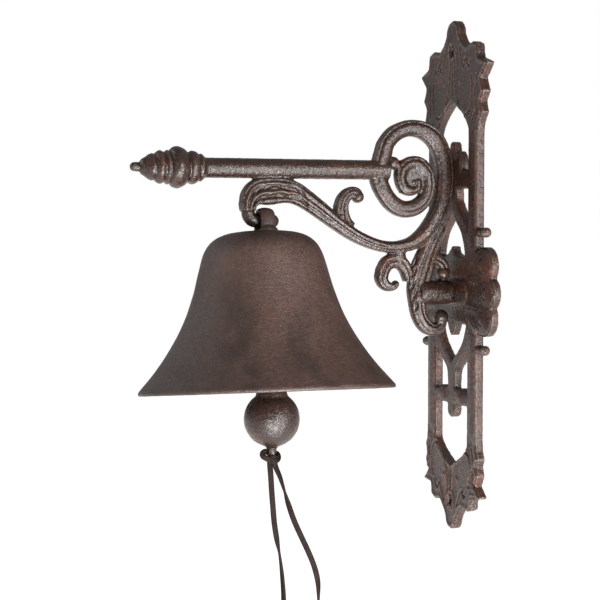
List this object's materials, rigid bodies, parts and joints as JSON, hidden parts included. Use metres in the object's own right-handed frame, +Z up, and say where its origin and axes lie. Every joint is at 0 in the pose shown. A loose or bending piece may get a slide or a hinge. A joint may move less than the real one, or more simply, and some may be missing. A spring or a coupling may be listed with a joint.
{
  "type": "wall mounted bell",
  "caption": "Cast-iron bell hung from a hook on a scrolled bracket arm, with an openwork leaf plate for the wall and a ball clapper pulled by a leather lace.",
  "frame": {"origin": "centre of the wall plate's flat back face, midway between its two screw holes", "axes": "+Z up, +Y into the wall, so the arm points to -Y; +X is to the right of someone who faces the wall"},
  "size_m": [0.159, 0.2175, 0.4391],
  "materials": {
    "plate_iron": "brown patina with rust spots",
    "arm_iron": "dark brown patina, worn smooth",
    "bell_iron": "brown patina, fine sand-cast grain",
    "clapper_iron": "dark patina, worn smooth",
    "wire": "dull grey",
    "screw": "dull zinc",
    "lace": "dark brown, cut edges"
  },
  "bodies": {
    "bracket": {"wall_plate": "plate_iron", "bracket_arm": "arm_iron", "upper_arm_screw": "screw", "lower_arm_screw": "screw"},
    "bell": {"bell": "bell_iron", "clapper_staple": "wire"},
    "clapper_link": {"clapper_link": "wire"},
    "clapper": {"clapper": "clapper_iron", "lace_knot": "lace", "lace_tail_left": "lace", "lace_tail_right": "lace"}
  },
  "joints": [
    {"name": "bell_swing", "type": "hinge", "parent": "bracket", "child": "bell", "pos_m": [0, -0.1325, 0.036], "axis": [0, 1, 0], "range_deg": [-35, 35]},
    {"name": "link_swing", "type": "hinge", "parent": "bell", "child": "clapper_link", "pos_m": [0, -0.128, 0.01], "axis": [1, 0, 0], "range_deg": [-15, 15]},
    {"name": "clapper_swing", "type": "hinge", "parent": "clapper_link", "child": "clapper", "pos_m": [0, -0.128, -0.003], "axis": [0, 1, 0], "range_deg": [-37, 27]}
  ]
}
